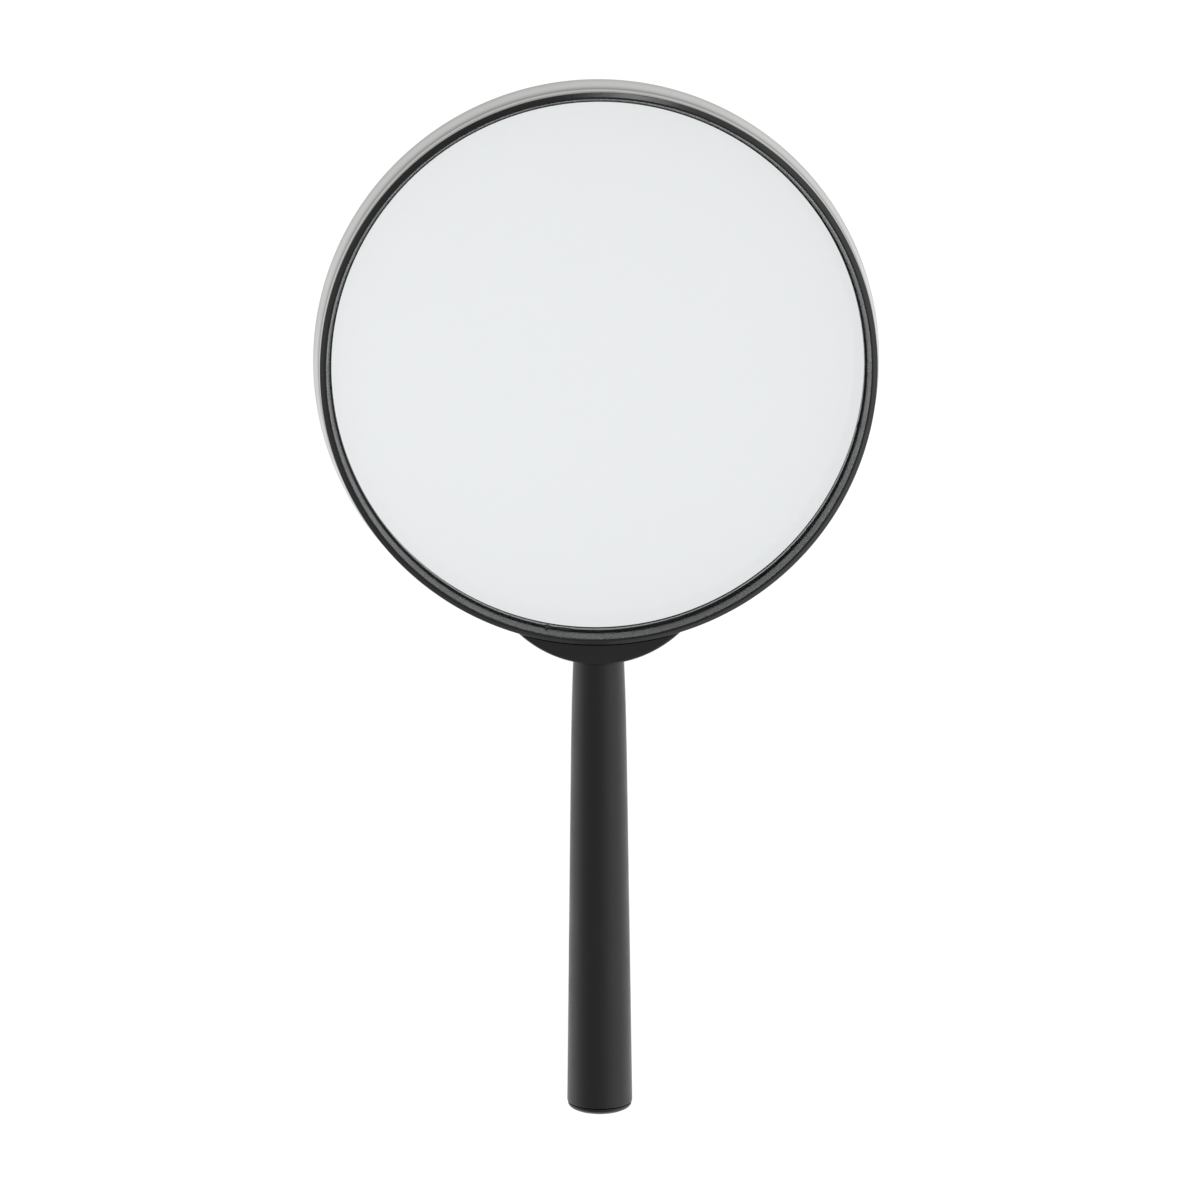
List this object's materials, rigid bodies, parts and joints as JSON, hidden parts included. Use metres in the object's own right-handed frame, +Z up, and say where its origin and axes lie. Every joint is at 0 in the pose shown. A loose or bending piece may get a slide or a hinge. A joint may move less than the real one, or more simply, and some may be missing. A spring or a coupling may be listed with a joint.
{
  "type": "magnifying glass",
  "caption": "Round hand lens in a black double bezel with a bright metal band, a fan-shaped saddle and a tapered round handle that screws on.",
  "frame": {"origin": "bottom centre of the whole object's box, on the surface it lies on", "axes": "+Z up along the optical axis, from the rear rim to the front; +Y from the handle towards the lens, in the handle's line; +X to the right"},
  "size_m": [0.1064, 0.1978, 0.015],
  "materials": {
    "glass": "polished clear optical glass",
    "bezel": "glossy moulded black plastic",
    "band": "bright rolled aluminium",
    "handle": "semi-gloss moulded black plastic",
    "steel": "zinc plated steel",
    "insert": "machined brass",
    "cushion": "soft grey vinyl",
    "fibre": "red vulcanised fibre"
  },
  "bodies": {
    "head": {"lens": "glass", "lens_cushion": "cushion", "front_bezel": "bezel", "rear_bezel": "bezel", "rim_band": "band", "joint_plate": "steel", "joint_rivet_left": "steel", "joint_rivet_right": "steel", "handle_stud": "steel", "saddle": "handle", "saddle_lock_washer": "steel", "saddle_nut": "steel"},
    "washer": {"friction_washer": "fibre"},
    "grip": {"handle": "handle", "handle_insert": "insert", "handle_end_cap": "handle"}
  },
  "joints": [
    {"name": "handle_turn", "type": "hinge", "parent": "head", "child": "washer", "pos_m": [0, 0, 0.0075], "axis": [0, -1, 0], "range_deg": [0, 5761]},
    {"name": "handle_travel", "type": "slide", "parent": "washer", "child": "grip", "axis": [0, -1, 0], "range_m": [0, 0.008]}
  ],
  "couplings": [
    {"joint": "handle_turn", "follows": "handle_travel", "rad_per_m": 12566}
  ]
}
